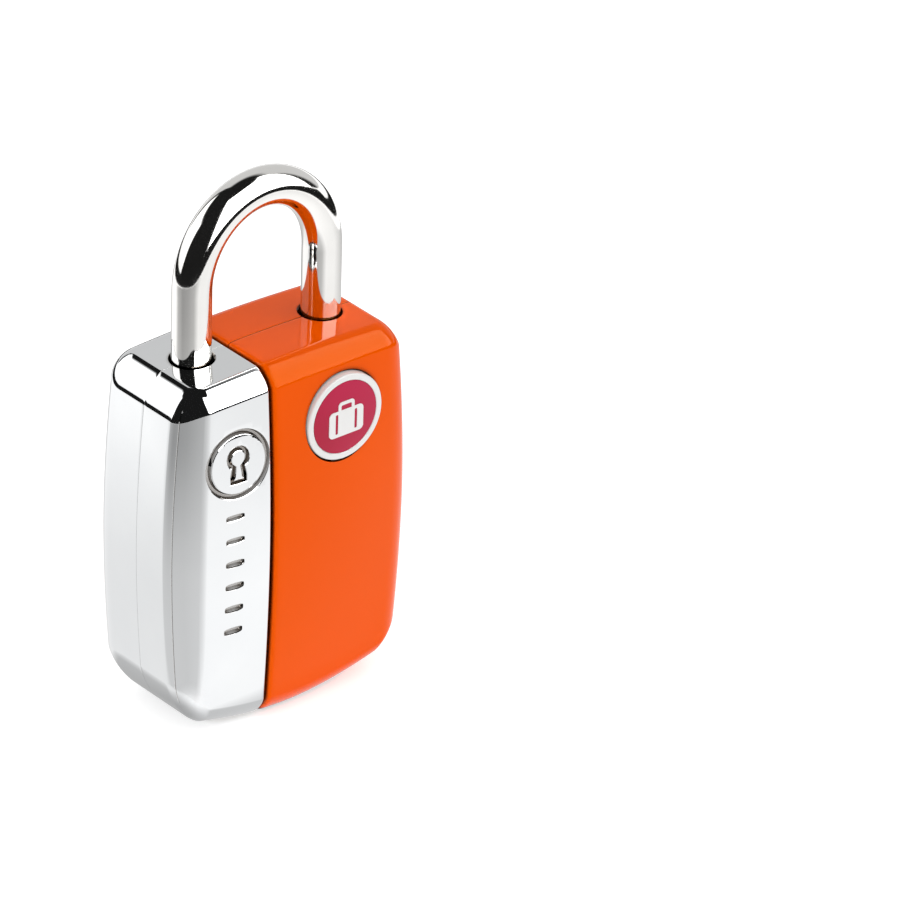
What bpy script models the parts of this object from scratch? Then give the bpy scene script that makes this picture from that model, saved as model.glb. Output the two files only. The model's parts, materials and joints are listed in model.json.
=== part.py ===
"""Key-operated luggage padlock: four cover shells around a die-cast core.

Frame: origin at the middle of the underside, +Z up, front face towards -Y,
the long (heel) leg of the shackle at +X. Lengths are metres.
"""
import math

import bmesh
import bpy
from mathutils import Matrix, Vector

MM = 0.001

# Overall form: a rounded box whose faces are crowned
BOX_WIDTH = 21.6 * MM
BOX_DEPTH = 11.2 * MM
BOX_HEIGHT = 29.85 * MM
CROWN_SIDE = 0.9 * MM
CROWN_FACE = 1.1 * MM
CROWN_TOP = 0.4 * MM
CROWN_BASE = 1.5 * MM
BASE_FLAT = 0.35 * MM
CROWN_POWER = 1.85
EDGE_RADIUS_TOP = 1.6 * MM
EDGE_RADIUS_BASE = 2.5 * MM
GAP = 0.3 * MM
WALL = 1.0 * MM
SEAM_GAP = 0.2 * MM
SPLIT_X = -3.0 * MM
BODY_TOP = BOX_HEIGHT + CROWN_TOP + CROWN_BASE - BASE_FLAT

# Shackle
WIRE_RADIUS = 1.6 * MM
LEG_X = 6.45 * MM
LEG_TOP_Z = BODY_TOP + 5.8 * MM
ARCH_RISE = 7.0 * MM
LIFT = 7.8 * MM
TOE_END_Z = 23.7 * MM
HEEL_END_Z = 11.8 * MM
BORE_RADIUS = 1.9 * MM
TOE_BORE_FLOOR_Z = TOE_END_Z - 0.4 * MM
HEEL_BORE_FLOOR_Z = 5.6 * MM
SPRING_FOOT_Z = HEEL_BORE_FLOOR_Z + GAP
HEEL_MOUTH_RADIUS = 1.8 * MM

# Latch bolt and the notch it enters
BOLT_TRAVEL = 3.4 * MM
BOLT_BITE = 1.15 * MM
NOSE_TOP_Z = 28.9 * MM
NOSE_TIP_HEIGHT = 0.5 * MM
NOSE_HALF_WIDTH = 1.2 * MM
RISER_LEFT_X = -4.3 * MM
RISER_WIDTH = 1.9 * MM
PLATE_BOTTOM_Z = 14.3 * MM
PLATE_HEIGHT = 2.4 * MM
PLATE_RIGHT_X = 0.6 * MM
PLATE_BACK_Y = 3.8 * MM
BORE_WALL = 0.25 * MM
NOSE_WINDOW_BOTTOM_Z = 24.0 * MM
PLATE_SET_BACK_X = 0.4 * MM
SLOT_DRIFT = 0.07 * MM

# Key cylinder, standing on the underside
PLUG_X = 0.6 * MM
PLUG_RADIUS = 2.7 * MM
PLUG_FACE_Z = 0.3 * MM
PLUG_TOP_Z = 12.7 * MM
SLEEVE_RADIUS = 3.4 * MM
SLEEVE_BOTTOM_Z = 1.05 * MM
SLEEVE_TOP_Z = 11.4 * MM
CAM_RADIUS = 3.1 * MM
CAM_TOP_Z = 14.0 * MM
CAM_PIN_RADIUS = 0.5 * MM
CAM_PIN_TOP_Z = 16.4 * MM
KEY_TURN = math.radians(90.0)
CAM_PIN_ORBIT = BOLT_TRAVEL / (2.0 * math.sin(KEY_TURN / 2.0))
KEYWAY_HALF_WIDTH = 0.5 * MM
KEYWAY_HALF_HEIGHT = 1.9 * MM
KEYWAY_TOP_Z = 10.4 * MM
TAIL_HALF = 0.95 * MM
CLIP_NECK_RADIUS = 2.1 * MM
CLIP_HEIGHT = 0.35 * MM
CLIP_GAP_HALF = 1.6 * MM
WAFER_COUNT = 5
WAFER_FIRST_Z = 2.6 * MM
WAFER_PITCH = 1.6 * MM
WAFER_THICKNESS = 0.6 * MM
WAFER_HALF_WIDTH = 1.15 * MM
WAFER_CUTS = (0.25 * MM, -0.2 * MM, 0.05 * MM, -0.3 * MM, 0.15 * MM)

# Cross pins: (x, z) of each axis, which runs along Y
DOWEL_RADIUS = 0.55 * MM
DOWELS = {
    "cover_dowel_left_low": (-8.3 * MM, 9.0 * MM),
    "cover_dowel_left_high": (-8.3 * MM, 15.6 * MM),
    "cover_dowel_right_low": (8.3 * MM, 4.3 * MM),
    "heel_retaining_pin": (LEG_X + WIRE_RADIUS, 22.2 * MM),
}
BOSS_WALL = 0.55 * MM
BOSS_FACE_Y = 3.6 * MM
BOSS_FOOT_Y = 5.05 * MM
DOWEL_HALF_LENGTH = 4.75 * MM
RIVET_RADIUS = 0.6 * MM
RIVET_HEAD_RADIUS = 1.0 * MM
RIVET_HALF_LENGTH = 4.15 * MM
RIVET_HEAD_HEIGHT = 0.55 * MM
RIVETS = {
    "core_rivet_left_low": (-6.0 * MM, 5.0 * MM),
    "core_rivet_left_high": (-6.4 * MM, 20.0 * MM),
    "core_rivet_right_low": (5.9 * MM, 3.3 * MM),
}

# Badge on the orange front cover
BADGE_X = 3.9 * MM
BADGE_Z = 25.4 * MM
BADGE_RADIUS = 3.7 * MM
BADGE_FLOOR_Y = -5.4 * MM
BADGE_THICKNESS = 0.75 * MM
ENAMEL_RADIUS = 2.9 * MM
ENAMEL_DEPTH = 0.35 * MM

# Lengths that only need to reach clear through what they cut
FAR = 50 * MM
TALL = 20 * MM
OVERLAP = 1.0 * MM
CUT_HALF_Y = 3.0 * MM


def clear_scene():
    """Remove every object, so that the script can run again."""
    for item in list(bpy.data.objects):
        bpy.data.objects.remove(item, do_unlink=True)


def new_collection(name):
    """A collection linked to the scene."""
    group = bpy.data.collections.new(name)
    bpy.context.scene.collection.children.link(group)
    return group


def material(name, colour, roughness, metallic):
    """A plain Principled material."""
    made = bpy.data.materials.new(name)
    made.use_nodes = True
    shader = made.node_tree.nodes["Principled BSDF"]
    shader.inputs["Base Color"].default_value = (*colour, 1.0)
    shader.inputs["Roughness"].default_value = roughness
    shader.inputs["Metallic"].default_value = metallic
    return made


def mesh_object(name, bm, group):
    """Turn a bmesh into an object of the group."""
    bmesh.ops.recalc_face_normals(bm, faces=bm.faces[:])
    mesh = bpy.data.meshes.new(name)
    bm.to_mesh(mesh)
    bm.free()
    made = bpy.data.objects.new(name, mesh)
    group.objects.link(made)
    return made


def box(name, low, high, group):
    """A box between two corners, given in world coordinates."""
    bm = bmesh.new()
    bmesh.ops.create_cube(bm, size=1.0)
    size = [b - a for a, b in zip(low, high)]
    middle = [(a + b) / 2.0 for a, b in zip(low, high)]
    bmesh.ops.scale(bm, vec=size, verts=bm.verts)
    bmesh.ops.translate(bm, vec=middle, verts=bm.verts)
    return mesh_object(name, bm, group)


def cylinder(name, radius, start, end, group, sides=24):
    """A cylinder between two points."""
    start, end = Vector(start), Vector(end)
    axis = end - start
    bm = bmesh.new()
    bmesh.ops.create_cone(bm, cap_ends=True, segments=sides, radius1=radius,
                          radius2=radius, depth=axis.length)
    turn = axis.to_track_quat("Z", "Y").to_matrix().to_4x4()
    place = Matrix.Translation((start + end) / 2.0) @ turn
    bmesh.ops.transform(bm, matrix=place, verts=bm.verts)
    return mesh_object(name, bm, group)


def outline_xz(name, points, low_y, high_y, group):
    """A flat outline in the XZ plane, thickened along Y."""
    curve = bpy.data.curves.new(name, "CURVE")
    curve.dimensions = "2D"
    curve.fill_mode = "BOTH"
    curve.extrude = (high_y - low_y) / 2.0
    spline = curve.splines.new("POLY")
    spline.points.add(len(points) - 1)
    for point, (x, z) in zip(spline.points, points):
        point.co = (x, z, 0.0, 1.0)
    spline.use_cyclic_u = True
    flat = bpy.data.objects.new(name + "_outline", curve)
    flat.matrix_world = (Matrix.Translation((0.0, (low_y + high_y) / 2.0, 0.0))
                         @ Matrix.Rotation(math.radians(90.0), 4, "X"))
    return curve_to_mesh(name, flat, group)


def tube(name, points, radius, rings, group, radii=None):
    """A round wire along a list of points."""
    curve = bpy.data.curves.new(name, "CURVE")
    curve.dimensions = "3D"
    curve.bevel_depth = radius
    curve.bevel_resolution = rings
    curve.use_fill_caps = True
    spline = curve.splines.new("POLY")
    spline.points.add(len(points) - 1)
    for index, point in enumerate(spline.points):
        point.co = (*points[index], 1.0)
        point.radius = radii[index] if radii else 1.0
    return curve_to_mesh(name, bpy.data.objects.new(name + "_wire", curve), group)


def curve_to_mesh(name, source, group):
    """Replace a curve object by a closed mesh object with the same shape."""
    group.objects.link(source)
    bpy.context.view_layer.update()
    graph = bpy.context.evaluated_depsgraph_get()
    mesh = bpy.data.meshes.new_from_object(source.evaluated_get(graph))
    mesh.transform(source.matrix_world)
    bpy.data.objects.remove(source, do_unlink=True)
    bm = bmesh.new()
    bm.from_mesh(mesh)
    bpy.data.meshes.remove(mesh)
    bmesh.ops.remove_doubles(bm, verts=bm.verts, dist=0.00001)
    return mesh_object(name, bm, group)


def boolean(target, cutters, operation="DIFFERENCE"):
    """Apply one exact Boolean for each cutter, in order."""
    for cutter in cutters:
        step = target.modifiers.new(cutter.name, "BOOLEAN")
        step.operation = operation
        step.solver = "EXACT"
        step.object = cutter
    bpy.context.view_layer.update()
    graph = bpy.context.evaluated_depsgraph_get()
    mesh = bpy.data.meshes.new_from_object(target.evaluated_get(graph))
    target.modifiers.clear()
    target.data = mesh
    return target


def duplicate(source, name, group):
    """A separate object with its own copy of the mesh."""
    made = bpy.data.objects.new(name, source.data.copy())
    group.objects.link(made)
    return made


def finish_part(part, look, origin=(0.0, 0.0, 0.0)):
    """Give a part its material, its origin and smooth round faces."""
    part.data.materials.clear()
    part.data.materials.append(look)
    place = Vector(origin)
    part.data.transform(Matrix.Translation(-place))
    part.location = place
    part.data.shade_smooth()
    part.data.set_sharp_from_angle(angle=math.radians(35.0))
    return part


def station(fraction, half, radius, flats, rounds):
    """Place one grid line of the rounded box: even over the flat, by angle over the edge."""
    steps = flats / 2.0 + rounds
    index = abs(fraction) * steps
    flat_half = half - radius
    if index <= flats / 2.0:
        reach = flat_half * index / (flats / 2.0)
    else:
        angle = math.radians(45.0) * (index - flats / 2.0) / rounds
        reach = flat_half + radius * math.tan(angle)
    return math.copysign(reach, fraction)


def pillow(name, inset, group, flats=6, rounds=2):
    """The crowned rounded box, moved inwards by inset on every side."""
    bm = bmesh.new()
    bmesh.ops.create_cube(bm, size=2.0)
    cuts = flats + 2 * rounds - 1
    bmesh.ops.subdivide_edges(bm, edges=bm.edges[:], cuts=cuts, use_grid_fill=True)
    half = Vector((BOX_WIDTH, BOX_DEPTH, BOX_HEIGHT)) / 2.0 - Vector((inset,) * 3)
    middle_z = BOX_HEIGHT / 2.0 + CROWN_BASE - BASE_FLAT
    for vert in bm.verts:
        share = (vert.co.z + 1.0) / 2.0
        radius = EDGE_RADIUS_BASE + (EDGE_RADIUS_TOP - EDGE_RADIUS_BASE) * share
        radius = max(radius - inset, 0.5 * MM)
        raw = Vector(station(vert.co[i], half[i], radius, flats, rounds) for i in range(3))
        inner = Vector(max(-half[i] + radius, min(half[i] - radius, raw[i])) for i in range(3))
        out = raw - inner
        place = inner + out.normalized() * radius
        place = crowned(place, half)
        vert.co = place + Vector((0.0, 0.0, middle_z))
    made = mesh_object(name, bm, group)
    if inset == 0.0:
        flatten_base(made)
    return made


def crowned(place, half):
    """Swell each face of the rounded box towards its middle."""
    x, y, z = (place[i] / half[i] for i in range(3))
    fade_x = 1.0 - min(abs(x), 1.0) ** CROWN_POWER
    fade_z = 1.0 - min(abs(z), 1.0) ** CROWN_POWER
    rise = CROWN_TOP if z > 0.0 else CROWN_BASE
    return Vector((
        place.x + CROWN_SIDE * x * fade_z,
        place.y + CROWN_FACE * y * fade_x * fade_z,
        place.z + rise * z * fade_x,
    ))


def flatten_base(body):
    """Cut the crown of the underside to one flat face that the lock stands on."""
    bm = bmesh.new()
    bm.from_mesh(body.data)
    cut = bmesh.ops.bisect_plane(bm, geom=bm.verts[:] + bm.edges[:] + bm.faces[:],
                                 plane_co=(0.0, 0.0, 0.0), plane_no=(0.0, 0.0, -1.0),
                                 clear_outer=True)
    rim = [item for item in cut["geom_cut"] if isinstance(item, bmesh.types.BMEdge)]
    bmesh.ops.contextual_create(bm, geom=rim)
    bmesh.ops.recalc_face_normals(bm, faces=bm.faces[:])
    bm.to_mesh(body.data)
    bm.free()


def cross_rod(name, x, z, radius, start_y, end_y, group):
    """A round rod along Y at one of the cross pins."""
    return cylinder(name, radius, (x, start_y, z), (x, end_y, z), group, 16)


def make_covers(parts, cutters, looks):
    """Four shells: chrome at the left, orange at the right, each in a front and a rear half."""
    outer = pillow("outer_form", 0.0, cutters)
    cavity = pillow("cavity_form", WALL, cutters, flats=4, rounds=2)
    boolean(outer, [cavity])
    lid_low, lid_high = BODY_TOP - 3.4 * MM, BODY_TOP + 1.6 * MM
    mouths = [
        cylinder("toe_mouth", BORE_RADIUS, (-LEG_X, 0, lid_low), (-LEG_X, 0, lid_high), cutters),
        cylinder("heel_mouth", HEEL_MOUTH_RADIUS, (LEG_X, 0, lid_low), (LEG_X, 0, lid_high),
                 cutters),
        cylinder("key_mouth", PLUG_RADIUS + GAP, (PLUG_X, 0, -OVERLAP),
                 (PLUG_X, 0, 3 * OVERLAP), cutters),
    ]
    columns = {
        "chrome": (-FAR, SPLIT_X - GAP / 2.0),
        "orange": (SPLIT_X + GAP / 2.0, FAR),
    }
    rows = {"front": -1.0, "rear": 1.0}
    hole_radius = DOWEL_RADIUS + GAP
    for colour, (low_x, high_x) in columns.items():
        for row, side in rows.items():
            name = f"{colour}_{row}_cover"
            low_y, high_y = sorted((side * SEAM_GAP / 2.0, side * FAR))
            part = duplicate(outer, name, parts)
            quarter = box(name + "_region", (low_x, low_y, -FAR), (high_x, high_y, FAR), cutters)
            boolean(part, [quarter], "INTERSECT")
            boolean(part, mouths)
            for pin, (x, z) in DOWELS.items():
                if not low_x < x < high_x:
                    continue
                post = cross_rod(f"{name}_{pin}_post", x, z, hole_radius + BOSS_WALL,
                                 side * BOSS_FACE_Y, side * BOSS_FOOT_Y, cutters)
                hole = cross_rod(f"{name}_{pin}_hole", x, z, hole_radius,
                                 side * (BOSS_FACE_Y - GAP), side * BOSS_FOOT_Y, cutters)
                boolean(part, [post], "UNION")
                boolean(part, [hole])
            if name == "orange_front_cover":
                boolean(part, [badge_pocket(cutters)])
            finish_part(part, looks[colour])


def badge_pocket(cutters):
    """The round recess that holds the badge."""
    return cylinder("badge_pocket", BADGE_RADIUS + GAP, (BADGE_X, BADGE_FLOOR_Y, BADGE_Z),
                    (BADGE_X, -FAR, BADGE_Z), cutters, 32)


def make_badge(parts, cutters, looks):
    """A round rim plate with a coloured insert."""
    back_y = BADGE_FLOOR_Y - GAP
    face_y = back_y - BADGE_THICKNESS
    plate = cylinder("badge_plate", BADGE_RADIUS, (BADGE_X, back_y, BADGE_Z),
                     (BADGE_X, face_y, BADGE_Z), parts, 32)
    seat = cylinder("enamel_seat", ENAMEL_RADIUS + GAP, (BADGE_X, face_y + ENAMEL_DEPTH, BADGE_Z),
                    (BADGE_X, face_y - OVERLAP, BADGE_Z), cutters, 32)
    boolean(plate, [seat])
    finish_part(plate, looks["rim"])
    enamel = cylinder("badge_enamel", ENAMEL_RADIUS,
                      (BADGE_X, face_y + ENAMEL_DEPTH - GAP * 0.9, BADGE_Z),
                      (BADGE_X, face_y - GAP * 0.5, BADGE_Z), parts, 32)
    finish_part(enamel, looks["enamel"])


def make_core(parts, cutters, looks):
    """Front and rear halves of the die-cast core, with every bore and channel cut in."""
    block = pillow("core_form", WALL + GAP, cutters, flats=4, rounds=2)
    heel_side_x = LEG_X - BORE_RADIUS - BORE_WALL
    nose_room = GAP + NOSE_HALF_WIDTH
    channel_top = NOSE_TOP_Z + GAP
    channel_bottom = PLATE_BOTTOM_Z - GAP
    plate_top = PLATE_BOTTOM_Z + PLATE_HEIGHT
    cuts = [
        cylinder("toe_bore", BORE_RADIUS, (-LEG_X, 0, TOE_BORE_FLOOR_Z), (-LEG_X, 0, FAR),
                 cutters),
        cylinder("heel_bore", BORE_RADIUS, (LEG_X, 0, HEEL_BORE_FLOOR_Z), (LEG_X, 0, FAR),
                 cutters),
        cylinder("cylinder_bore", SLEEVE_RADIUS + GAP, (PLUG_X, 0, -OVERLAP),
                 (PLUG_X, 0, channel_bottom + GAP / 3.0), cutters, 32),
        box("riser_channel", (RISER_LEFT_X - GAP, -nose_room, channel_bottom),
            (heel_side_x, nose_room, channel_top), cutters),
        box("nose_window", (-LEG_X, -nose_room, NOSE_WINDOW_BOTTOM_Z),
            (RISER_LEFT_X, nose_room, channel_top), cutters),
        box("plate_channel", (RISER_LEFT_X - GAP, -nose_room, channel_bottom),
            (heel_side_x, PLATE_BACK_Y + GAP, plate_top + GAP), cutters),
    ]
    pocket_y = BOSS_FACE_Y - GAP
    for name, (x, z) in DOWELS.items():
        cuts.append(cross_rod(name + "_bore", x, z, DOWEL_RADIUS + GAP, -FAR, FAR, cutters))
        for side in (-1.0, 1.0):
            cuts.append(cross_rod(f"{name}_pocket_{side:.0f}", x, z,
                                  DOWEL_RADIUS + 2 * GAP + BOSS_WALL,
                                  side * pocket_y, side * FAR, cutters))
    head_floor_y = RIVET_HALF_LENGTH - RIVET_HEAD_HEIGHT - GAP
    for name, (x, z) in RIVETS.items():
        cuts.append(cross_rod(name + "_bore", x, z, RIVET_RADIUS + GAP, -FAR, FAR, cutters))
        for side in (-1.0, 1.0):
            cuts.append(cross_rod(f"{name}_seat_{side:.0f}", x, z, RIVET_HEAD_RADIUS + GAP,
                                  side * head_floor_y, side * FAR, cutters))
    boolean(block, cuts)
    for row, side in (("front", -1.0), ("rear", 1.0)):
        low_y, high_y = sorted((side * GAP / 2.0, side * FAR))
        half = duplicate(block, f"core_{row}", parts)
        region = box(f"core_{row}_region", (-FAR, low_y, -FAR), (FAR, high_y, FAR), cutters)
        boolean(half, [region], "INTERSECT")
        finish_part(half, looks["zinc"])


def make_shackle(parts, cutters, looks):
    """The bent rod: a long heel leg at +X, a short toe leg with the locking notch at -X."""
    chamfer = 0.45 * MM
    tip_share = 0.72
    steps = 16
    points = [(LEG_X, 0.0, HEEL_END_Z), (LEG_X, 0.0, HEEL_END_Z + chamfer)]
    for step in range(steps + 1):
        angle = math.pi * step / steps
        points.append((LEG_X * math.cos(angle), 0.0, LEG_TOP_Z + ARCH_RISE * math.sin(angle)))
    points += [(-LEG_X, 0.0, TOE_END_Z + chamfer), (-LEG_X, 0.0, TOE_END_Z)]
    radii = [1.0] * len(points)
    radii[0] = radii[-1] = tip_share
    rod = tube("shackle", points, WIRE_RADIUS, 8, parts, radii)

    slope = LIFT / BOLT_TRAVEL
    mouth_x = -LEG_X + WIRE_RADIUS
    nose_root_z = NOSE_TOP_Z - NOSE_TIP_HEIGHT - slope * BOLT_BITE
    flank_z = nose_root_z - GAP * math.hypot(1.0, slope)
    floor_x = mouth_x - BOLT_BITE - GAP
    room = OVERLAP
    notch = outline_xz("toe_notch", [
        (floor_x, NOSE_TOP_Z + GAP),
        (floor_x, flank_z + slope * (mouth_x - floor_x)),
        (mouth_x + room, flank_z - slope * room),
        (mouth_x + room, NOSE_TOP_Z + GAP),
    ], -CUT_HALF_Y, CUT_HALF_Y, cutters)
    pin_x, pin_z = DOWELS["heel_retaining_pin"]
    clear = DOWEL_RADIUS + GAP
    groove = box("heel_groove", (pin_x - clear, -CUT_HALF_Y, pin_z - clear - LIFT),
                 (pin_x + clear, CUT_HALF_Y, pin_z + clear), cutters)
    boolean(rod, [notch, groove])
    finish_part(rod, looks["steel"], (LEG_X, 0.0, HEEL_END_Z))


def coil(name, start, axis, across, length, radius, wire, turns, per_turn, group):
    """A helical spring along an axis, with its ends inside the stated length."""
    start, axis, across = Vector(start), Vector(axis), Vector(across)
    third = axis.cross(across)
    count = int(turns * per_turn)
    points = []
    for step in range(count + 1):
        angle = 2.0 * math.pi * step / per_turn
        rise = wire + (length - 2.0 * wire) * step / count
        points.append(start + axis * rise
                      + (across * math.cos(angle) + third * math.sin(angle)) * radius)
    return tube(name, points, wire, 1, group)


def make_spring(parts, looks):
    """The spring under the heel leg that lifts the shackle."""
    spring = coil("shackle_spring", (LEG_X, 0.0, SPRING_FOOT_Z), (0, 0, 1), (1, 0, 0),
                  HEEL_END_Z - GAP - SPRING_FOOT_Z, 1.2 * MM, 0.25 * MM, 5, 10, parts)
    finish_part(spring, looks["spring"])


def make_pins(parts, cutters, looks):
    """Dowels, the heel retaining pin and the rivets that hold the core halves together."""
    for name, (x, z) in DOWELS.items():
        pin = cross_rod(name, x, z, DOWEL_RADIUS, -DOWEL_HALF_LENGTH, DOWEL_HALF_LENGTH, parts)
        finish_part(pin, looks["steel"])
    shank_half = RIVET_HALF_LENGTH - RIVET_HEAD_HEIGHT / 2.0
    for name, (x, z) in RIVETS.items():
        rivet = cross_rod(name, x, z, RIVET_RADIUS, -shank_half, shank_half, parts)
        heads = []
        for side in (-1.0, 1.0):
            heads.append(cross_rod(f"{name}_head_{side:.0f}", x, z, RIVET_HEAD_RADIUS,
                                   side * (RIVET_HALF_LENGTH - RIVET_HEAD_HEIGHT),
                                   side * RIVET_HALF_LENGTH, cutters))
        boolean(rivet, heads, "UNION")
        finish_part(rivet, looks["steel"])


def make_bolt(parts, cutters, looks):
    """The latch bolt: nose and riser in one outline, and a slotted plate for the cam pin."""
    slope = LIFT / BOLT_TRAVEL
    tip_x = -LEG_X + WIRE_RADIUS - BOLT_BITE
    tip_z = NOSE_TOP_Z - NOSE_TIP_HEIGHT
    plate_top = PLATE_BOTTOM_Z + PLATE_HEIGHT
    riser_right = RISER_LEFT_X + RISER_WIDTH
    bolt = outline_xz("latch_bolt", [
        (tip_x, NOSE_TOP_Z),
        (tip_x, tip_z),
        (RISER_LEFT_X, tip_z - slope * (RISER_LEFT_X - tip_x)),
        (RISER_LEFT_X, PLATE_BOTTOM_Z),
        (PLATE_RIGHT_X, PLATE_BOTTOM_Z),
        (PLATE_RIGHT_X, plate_top),
        (riser_right, plate_top),
        (riser_right, NOSE_TOP_Z),
    ], -NOSE_HALF_WIDTH, NOSE_HALF_WIDTH, parts)
    plate = box("bolt_plate", (RISER_LEFT_X + PLATE_SET_BACK_X, 0.0, PLATE_BOTTOM_Z),
                (PLATE_RIGHT_X, PLATE_BACK_Y, plate_top), cutters)
    boolean(bolt, [plate], "UNION")
    pin_x = PLUG_X - CAM_PIN_ORBIT * math.sin(KEY_TURN / 2.0)
    near_y = CAM_PIN_ORBIT * math.cos(KEY_TURN / 2.0)
    room = CAM_PIN_RADIUS + GAP
    slot = box("bolt_slot",
               (pin_x - room - SLOT_DRIFT, near_y - room, PLATE_BOTTOM_Z - OVERLAP),
               (pin_x + room + SLOT_DRIFT, CAM_PIN_ORBIT + room, plate_top + OVERLAP), cutters)
    boolean(bolt, [slot])
    finish_part(bolt, looks["steel"])


def make_cylinder(parts, cutters, looks):
    """Sleeve, plug with its keyway, wafers and their springs, retaining clip and cam."""
    centre = (PLUG_X, 0.0, 0.0)
    sleeve = cylinder("cylinder_sleeve", SLEEVE_RADIUS, (PLUG_X, 0, SLEEVE_BOTTOM_Z),
                      (PLUG_X, 0, SLEEVE_TOP_Z), parts, 32)
    boolean(sleeve, [cylinder("sleeve_bore", PLUG_RADIUS + GAP, (PLUG_X, 0, -OVERLAP),
                              (PLUG_X, 0, TALL), cutters, 32)])
    finish_part(sleeve, looks["brass"])

    plug = cylinder("plug", PLUG_RADIUS, (PLUG_X, 0, PLUG_FACE_Z), (PLUG_X, 0, PLUG_TOP_Z),
                    parts, 32)
    tail = box("plug_tail", (PLUG_X - TAIL_HALF, -TAIL_HALF, PLUG_TOP_Z - OVERLAP),
               (PLUG_X + TAIL_HALF, TAIL_HALF, CAM_TOP_Z - 0.2 * MM), cutters)
    groove_low, groove_high = SLEEVE_TOP_Z + 0.1 * MM, PLUG_TOP_Z - 0.4 * MM
    groove = cylinder("clip_groove", PLUG_RADIUS + OVERLAP, (PLUG_X, 0, groove_low),
                      (PLUG_X, 0, groove_high), cutters, 32)
    boolean(groove, [cylinder("clip_neck", CLIP_NECK_RADIUS, (PLUG_X, 0, 0), (PLUG_X, 0, TALL),
                              cutters, 32)])
    boolean(plug, [tail], "UNION")
    keyway = box("keyway", (PLUG_X - KEYWAY_HALF_WIDTH, -KEYWAY_HALF_HEIGHT, -OVERLAP),
                 (PLUG_X + KEYWAY_HALF_WIDTH, KEYWAY_HALF_HEIGHT, KEYWAY_TOP_Z), cutters)
    cuts = [groove, keyway]
    pocket_x = PLUG_X + WAFER_HALF_WIDTH
    for index in range(WAFER_COUNT):
        low_z = WAFER_FIRST_Z + index * WAFER_PITCH - GAP
        high_z = low_z + WAFER_THICKNESS + 2 * GAP
        cuts.append(box(f"wafer_slot_{index + 1}",
                        (PLUG_X - WAFER_HALF_WIDTH - GAP, -SLEEVE_RADIUS, low_z),
                        (PLUG_X + WAFER_HALF_WIDTH + GAP, SLEEVE_RADIUS, high_z), cutters))
        cuts.append(box(f"spring_pocket_{index + 1}", (pocket_x, -1.6 * MM, low_z),
                        (pocket_x + OVERLAP, 1.4 * MM, high_z), cutters))
    boolean(plug, cuts)
    finish_part(plug, looks["brass"], centre)

    for index in range(WAFER_COUNT):
        make_wafer(index, parts, cutters, looks)

    clip_low = SLEEVE_TOP_Z + 0.35 * MM
    clip = cylinder("plug_clip", SLEEVE_RADIUS - 0.1 * MM, (PLUG_X, 0, clip_low),
                    (PLUG_X, 0, clip_low + CLIP_HEIGHT), parts, 32)
    clip_cuts = [
        cylinder("clip_bore", CLIP_NECK_RADIUS + GAP, (PLUG_X, 0, 0), (PLUG_X, 0, TALL),
                 cutters, 32),
        box("clip_gap", (PLUG_X - CLIP_GAP_HALF, -2 * SLEEVE_RADIUS, 0),
            (PLUG_X + CLIP_GAP_HALF, 0, TALL), cutters),
    ]
    boolean(clip, clip_cuts)
    finish_part(clip, looks["spring"], centre)
    make_cam(parts, cutters, looks)


def make_wafer(index, parts, cutters, looks):
    """One wafer and the small spring beside it."""
    low_z = WAFER_FIRST_Z + index * WAFER_PITCH
    high_z = low_z + WAFER_THICKNESS
    half_length = 2.1 * MM
    window_half_x, window_half_y = 0.7 * MM, 1.1 * MM
    wafer = box(f"wafer_{index + 1}", (PLUG_X - WAFER_HALF_WIDTH, -half_length, low_z),
                (PLUG_X + WAFER_HALF_WIDTH, half_length, high_z), parts)
    arm = box(f"wafer_arm_{index + 1}", (PLUG_X, half_length - 1.6 * MM, low_z),
              (PLUG_X + WAFER_HALF_WIDTH + 0.6 * MM, half_length - MM, high_z), cutters)
    window = box(f"wafer_window_{index + 1}",
                 (PLUG_X - window_half_x, WAFER_CUTS[index] - window_half_y, low_z - OVERLAP),
                 (PLUG_X + window_half_x, WAFER_CUTS[index] + window_half_y, high_z + OVERLAP), cutters)
    boolean(wafer, [arm], "UNION")
    boolean(wafer, [window])
    finish_part(wafer, looks["brass"], (PLUG_X, 0.0, 0.0))
    middle_z = (low_z + high_z) / 2.0
    spring = coil(f"wafer_spring_{index + 1}",
                  (PLUG_X + WAFER_HALF_WIDTH + 0.5 * MM, -1.3 * MM, middle_z),
                  (0, 1, 0), (0, 0, 1), 1.4 * MM, 0.2 * MM, 0.07 * MM, 3, 8, parts)
    finish_part(spring, looks["spring"], (PLUG_X, 0.0, 0.0))


def make_cam(parts, cutters, looks):
    """The cam on the plug's square tail, whose pin drives the bolt."""
    cam = cylinder("cam", CAM_RADIUS, (PLUG_X, 0, PLUG_TOP_Z + GAP), (PLUG_X, 0, CAM_TOP_Z),
                   parts, 32)
    turned = KEY_TURN / 2.0
    pin_x = PLUG_X - CAM_PIN_ORBIT * math.sin(turned)
    pin_y = CAM_PIN_ORBIT * math.cos(turned)
    pin = cylinder("cam_pin", CAM_PIN_RADIUS, (pin_x, pin_y, PLUG_TOP_Z + 2 * GAP),
                   (pin_x, pin_y, CAM_PIN_TOP_Z), cutters, 16)
    room = TAIL_HALF + GAP
    hole = box("cam_hole", (PLUG_X - room, -room, 0), (PLUG_X + room, room, TALL), cutters)
    boolean(cam, [hole])
    boolean(cam, [pin], "UNION")
    finish_part(cam, looks["steel"], (PLUG_X, 0.0, 0.0))


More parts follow.
